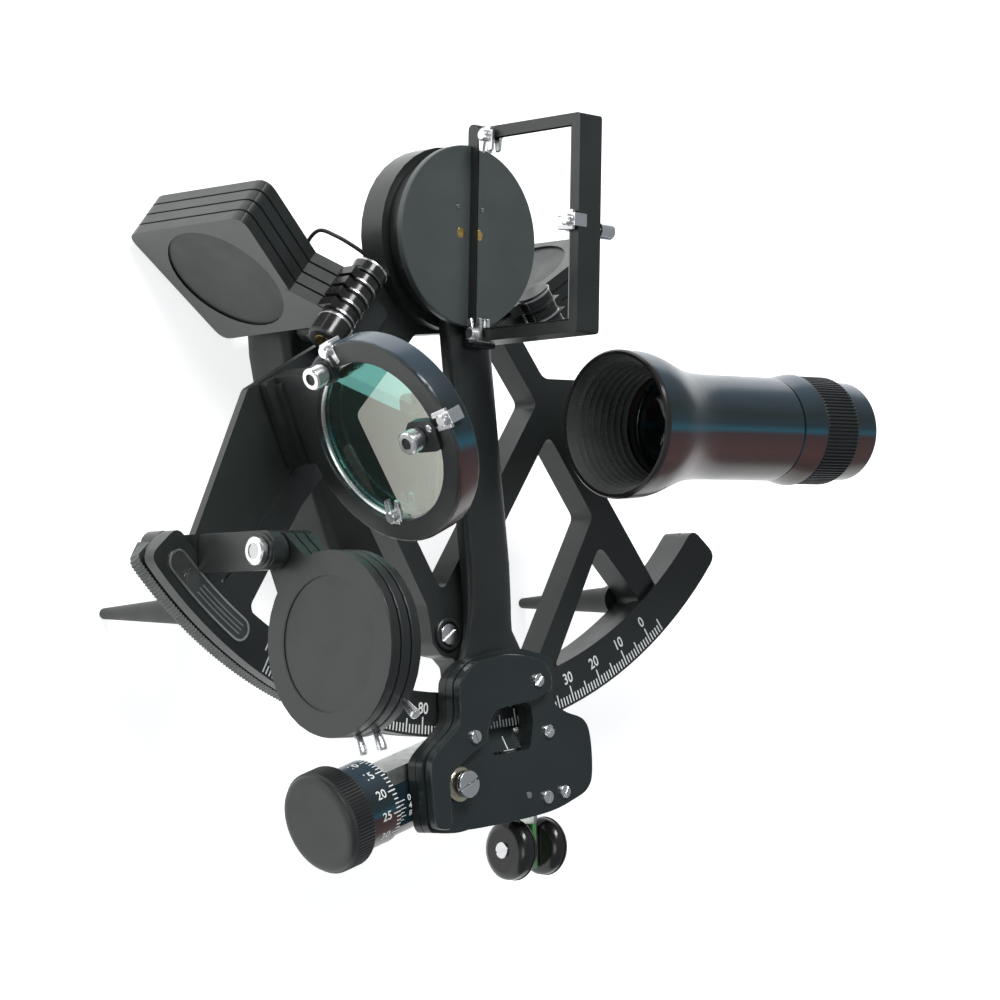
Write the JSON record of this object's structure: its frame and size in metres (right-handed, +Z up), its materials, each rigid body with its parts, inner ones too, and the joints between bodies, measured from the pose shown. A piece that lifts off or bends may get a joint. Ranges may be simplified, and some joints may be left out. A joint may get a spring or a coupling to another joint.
{
  "type": "nautical sextant",
  "caption": "Drum sextant lying face up on its legs, with an open frame, swinging index arm, micrometer, two mirrors, hinged shades and a telescope.",
  "frame": {"origin": "on the ground under the middle of the bounding box, with the instrument lying on its three legs", "axes": "+X along the telescope towards the eyepiece, +Y from the graduated arc towards the index pivot, +Z up out of the graduated face"},
  "size_m": [0.275, 0.2468, 0.141],
  "materials": {
    "cast_black": "satin black anodised alloy with a slight green-grey cast",
    "gloss_black": "gloss black paint",
    "grip_black": "moulded matte black plastic",
    "wire_black": "black insulated wire",
    "bare_alloy": "machined, bare",
    "steel": "turned steel",
    "chrome": "bright plated",
    "brass": "turned brass",
    "silvered": "front face polished",
    "coated_glass": "beam-splitting coating, teal in reflection",
    "shade_glass": "neutral dark tint",
    "lens": "coated lens"
  },
  "bodies": {
    "frame": {"frame": "cast_black", "toothed_rack": "bare_alloy", "pivot_bush": "brass", "leg_left": "cast_black", "leg_right": "cast_black", "leg_top": "cast_black", "handle_grip": "grip_black", "handle_post_top": "cast_black", "handle_post_bottom": "cast_black", "battery": "bare_alloy", "horizon_mirror_frame": "cast_black", "horizon_glass": "coated_glass", "horizon_shade_post": "cast_black", "horizon_shade_pin": "chrome", "index_shade_post": "cast_black", "scope_body": "gloss_black", "scope_objective": "lens", "scope_bracket": "cast_black", "frame_light_wire": "wire_black"},
    "arm": {"index_arm": "cast_black", "pivot_shaft": "steel", "index_disc": "cast_black", "index_mirror_frame": "cast_black", "index_mirror_glass": "silvered", "housing_plate": "cast_black", "housing_cover": "cast_black", "index_pointer": "cast_black", "carrier_pivot_screw": "chrome", "fixed_lever": "bare_alloy", "fixed_pad": "gloss_black", "arm_light_wire": "wire_black"},
    "carrier": {"worm_carrier": "bare_alloy", "index_sleeve": "cast_black", "release_lever": "bare_alloy", "release_pad": "gloss_black"},
    "drum": {"worm_shaft": "steel", "micrometer_drum": "cast_black", "micrometer_knob": "cast_black"},
    "battery_cap": {"battery_cap": "cast_black"},
    "light_button": {"light_button": "grip_black"},
    "index_mirror_screw": {"index_mirror_screw": "chrome"},
    "horizon_screw_side": {"horizon_screw_side": "chrome"},
    "horizon_screw_upper": {"horizon_screw_upper": "chrome"},
    "focus_ring": {"focus_ring": "grip_black"},
    "scope_eyepiece": {"scope_eyepiece": "gloss_black"},
    "scope_thumbscrew": {"scope_thumbscrew": "chrome"},
    "horizon_shade_1": {"horizon_shade_frame_1": "cast_black", "horizon_shade_glass_1": "shade_glass"},
    "horizon_shade_2": {"horizon_shade_frame_2": "cast_black", "horizon_shade_glass_2": "shade_glass"},
    "horizon_shade_3": {"horizon_shade_frame_3": "cast_black", "horizon_shade_glass_3": "shade_glass"},
    "index_shade_1": {"index_shade_frame_1": "cast_black", "index_shade_glass_1": "shade_glass"},
    "index_shade_2": {"index_shade_frame_2": "cast_black", "index_shade_glass_2": "shade_glass"},
    "index_shade_3": {"index_shade_frame_3": "cast_black", "index_shade_glass_3": "shade_glass"},
    "index_shade_4": {"index_shade_frame_4": "cast_black", "index_shade_glass_4": "shade_glass"}
  },
  "joints": [
    {"name": "index_arm_swing", "type": "hinge", "parent": "frame", "child": "arm", "pos_m": [-0.01365, 0.08692, 0.06], "axis": [0, 0, 1], "range_deg": [-37.3, 30.2]},
    {"name": "worm_release", "type": "hinge", "parent": "arm", "child": "carrier", "pos_m": [-0.02055, -0.09048, 0.06], "axis": [0, 0, 1], "range_deg": [-6, 0], "stiffness_Nm_per_rad": 0.4, "springref_deg": 5.73},
    {"name": "micrometer_turn", "type": "hinge", "parent": "carrier", "child": "drum", "pos_m": [-0.06585, -0.10218, 0.0505], "axis": [0.9587, 0.2845, 0], "continuous": true},
    {"name": "battery_cap_turn", "type": "hinge", "parent": "frame", "child": "battery_cap", "pos_m": [-0.0117, -0.04959, 0.0178], "axis": [0.319, -0.9478, 0], "range_deg": [0, 90]},
    {"name": "light_button_press", "type": "slide", "parent": "frame", "child": "light_button", "axis": [-0.9478, -0.319, 0], "range_m": [0, 0.0012], "stiffness_N_per_m": 600, "springref_m": -0.0005},
    {"name": "index_mirror_adjust", "type": "hinge", "parent": "arm", "child": "index_mirror_screw", "pos_m": [-0.00426, 0.08478, 0.1211], "axis": [0.9983, -0.0576, 0], "range_deg": [-180, 180]},
    {"name": "horizon_side_adjust", "type": "hinge", "parent": "frame", "child": "horizon_screw_side", "pos_m": [-0.09151, 0.03846, 0.0872], "axis": [0.9205, 0.3907, 0], "range_deg": [-180, 180]},
    {"name": "horizon_upper_adjust", "type": "hinge", "parent": "frame", "child": "horizon_screw_upper", "pos_m": [-0.08241, 0.01702, 0.1203], "axis": [0.9205, 0.3907, 0], "range_deg": [-180, 180]},
    {"name": "focus_turn", "type": "hinge", "parent": "frame", "child": "focus_ring", "pos_m": [0.11055, 0.02522, 0.097], "axis": [1, 0, 0], "range_deg": [0, 300]},
    {"name": "eyepiece_slide", "type": "slide", "parent": "frame", "child": "scope_eyepiece", "axis": [1, 0, 0], "range_m": [0, 0.0078]},
    {"name": "scope_clamp_turn", "type": "hinge", "parent": "frame", "child": "scope_thumbscrew", "pos_m": [0.06735, 0.03592, 0.069], "axis": [0, 1, 0], "range_deg": [-180, 180]},
    {"name": "horizon_shade_1_swing", "type": "hinge", "parent": "frame", "child": "horizon_shade_1", "pos_m": [-0.11365, -0.01628, 0.0905], "axis": [1, 0, 0], "range_deg": [-133, 0]},
    {"name": "horizon_shade_2_swing", "type": "hinge", "parent": "frame", "child": "horizon_shade_2", "pos_m": [-0.10955, -0.01628, 0.0905], "axis": [1, 0, 0], "range_deg": [-133, 0]},
    {"name": "horizon_shade_3_swing", "type": "hinge", "parent": "frame", "child": "horizon_shade_3", "pos_m": [-0.10545, -0.01628, 0.0905], "axis": [1, 0, 0], "range_deg": [-133, 0]},
    {"name": "index_shade_1_swing", "type": "hinge", "parent": "frame", "child": "index_shade_1", "pos_m": [-0.06521, 0.05763, 0.065], "axis": [0.6587, 0.7524, 0], "range_deg": [0, 177]},
    {"name": "index_shade_2_swing", "type": "hinge", "parent": "frame", "child": "index_shade_2", "pos_m": [-0.06225, 0.06102, 0.065], "axis": [0.6587, 0.7524, 0], "range_deg": [0, 177]},
    {"name": "index_shade_3_swing", "type": "hinge", "parent": "frame", "child": "index_shade_3", "pos_m": [-0.05928, 0.0644, 0.065], "axis": [0.6587, 0.7524, 0], "range_deg": [0, 177]},
    {"name": "index_shade_4_swing", "type": "hinge", "parent": "frame", "child": "index_shade_4", "pos_m": [-0.05632, 0.06779, 0.065], "axis": [0.6587, 0.7524, 0], "range_deg": [0, 177]}
  ],
  "couplings": [
    {"joint": "focus_turn", "follows": "eyepiece_slide", "rad_per_m": 666.67}
  ]
}
